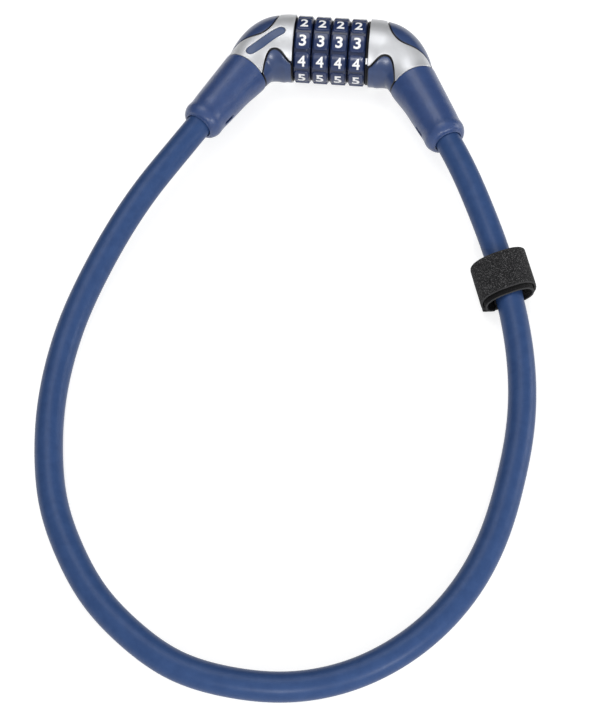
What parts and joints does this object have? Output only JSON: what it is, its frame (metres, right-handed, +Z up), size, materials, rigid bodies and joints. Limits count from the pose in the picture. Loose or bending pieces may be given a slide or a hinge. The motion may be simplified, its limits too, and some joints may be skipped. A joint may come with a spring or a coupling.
{
  "type": "combination cable lock",
  "caption": "Combination cable lock: numbered dials between two elbow ends, a vinyl-covered steel cable in a loop and a hook-and-loop strap on it.",
  "frame": {"origin": "on the table under the middle of the rigid head, which is the dials, the two elbow ends and their boots", "axes": "+X along the dials' axis towards the end that pulls out, +Y away from the cable's loop, +Z up with the lock lying flat"},
  "size_m": [0.2106, 0.332, 0.032],
  "materials": {
    "navy_plastic": "satin moulded plastic",
    "boot_rubber": "soft-touch, slightly grainy",
    "dial_plastic": "glossy moulded plastic",
    "digit_paint": "white filling paint",
    "silver_cover": "satin silver paint",
    "black_plastic": "matt",
    "hardened_steel": "ground",
    "zinc_casting": "tumbled zinc casting",
    "cable_vinyl": "satin translucent vinyl over steel strands",
    "strap_fabric": "hook-and-loop nylon"
  },
  "bodies": {
    "lock_body": {"left_housing": "navy_plastic", "left_cover": "silver_cover", "badge_plate": "navy_plastic", "left_boot": "boot_rubber", "left_ferrule": "zinc_casting", "left_ferrule_pin": "hardened_steel", "left_rope_end": "hardened_steel", "core_sleeve": "hardened_steel", "core_pin": "hardened_steel", "detent_spring": "hardened_steel", "thrust_washer": "black_plastic", "end_collar": "black_plastic", "index_mark": "digit_paint", "cable": "cable_vinyl"},
    "dial_ring_1": {"dial_1": "dial_plastic", "tumbler_1": "zinc_casting"},
    "dial_ring_2": {"dial_2": "dial_plastic", "tumbler_2": "zinc_casting"},
    "dial_ring_3": {"dial_3": "dial_plastic", "tumbler_3": "zinc_casting"},
    "dial_ring_4": {"dial_4": "dial_plastic", "tumbler_4": "zinc_casting"},
    "bolt_end": {"right_housing": "navy_plastic", "right_cover": "silver_cover", "right_boot": "boot_rubber", "right_ferrule": "zinc_casting", "right_ferrule_pin": "hardened_steel", "right_rope_end": "hardened_steel", "bolt": "hardened_steel", "bolt_pin": "hardened_steel"},
    "strap_loop": {"strap": "strap_fabric"}
  },
  "joints": [
    {"name": "dial_turn_1", "type": "hinge", "parent": "lock_body", "child": "dial_ring_1", "pos_m": [-0.0131, 0.0182, 0.016], "axis": [1, 0, 0], "continuous": true},
    {"name": "dial_turn_2", "type": "hinge", "parent": "lock_body", "child": "dial_ring_2", "pos_m": [-0.0046, 0.0182, 0.016], "axis": [1, 0, 0], "continuous": true},
    {"name": "dial_turn_3", "type": "hinge", "parent": "lock_body", "child": "dial_ring_3", "pos_m": [0.0039, 0.0182, 0.016], "axis": [1, 0, 0], "continuous": true},
    {"name": "dial_turn_4", "type": "hinge", "parent": "lock_body", "child": "dial_ring_4", "pos_m": [0.0124, 0.0182, 0.016], "axis": [1, 0, 0], "continuous": true},
    {"name": "bolt_pull", "type": "slide", "parent": "lock_body", "child": "bolt_end", "axis": [1, 0, 0], "range_m": [0, 0.045], "deforming": ["cable"]},
    {"name": "strap_turn", "type": "hinge", "parent": "bolt_end", "child": "strap_loop", "pos_m": [0.0861, -0.0974, 0.0089], "axis": [0.2874, -0.9578, 0], "continuous": true}
  ]
}
